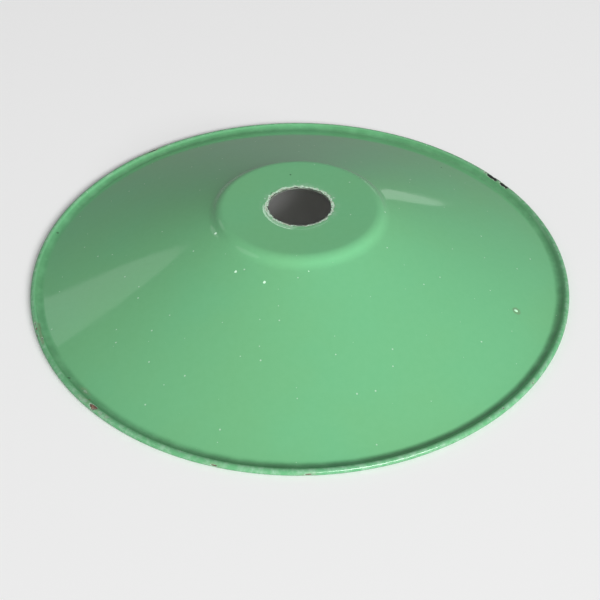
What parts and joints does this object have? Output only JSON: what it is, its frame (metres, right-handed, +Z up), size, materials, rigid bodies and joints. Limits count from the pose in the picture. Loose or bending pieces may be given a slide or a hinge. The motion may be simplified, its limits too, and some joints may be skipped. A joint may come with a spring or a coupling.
{
  "type": "lampshade",
  "caption": "Shallow conical enamelled steel lampshade with a flat collar, a central lampholder hole and a rolled rim.",
  "frame": {"origin": "on the shade's axis, at the level of the lowest circle of the rolled rim, which the shade stands on", "axes": "+Z up the shade's axis, from the open rim to the collar; the shade is the same all round, so +X and +Y are free"},
  "size_m": [0.356, 0.356, 0.0521],
  "materials": {
    "bare_steel": "bare steel edge with a brown film of rust",
    "ground_enamel": "dark ground coat, seen only where the coats over it have chipped",
    "green_enamel": "glossy green glaze, chipped along the rim and worn away round the hole",
    "white_enamel": "glossy white glaze, the reflector inside and the undercoat outside"
  },
  "bodies": {
    "root": {"steel_shell": "bare_steel", "ground_coat_outside": "ground_enamel", "ground_coat_inside": "ground_enamel", "white_undercoat": "white_enamel", "green_top_coat": "green_enamel", "white_lining": "white_enamel"}
  },
  "joints": []
}
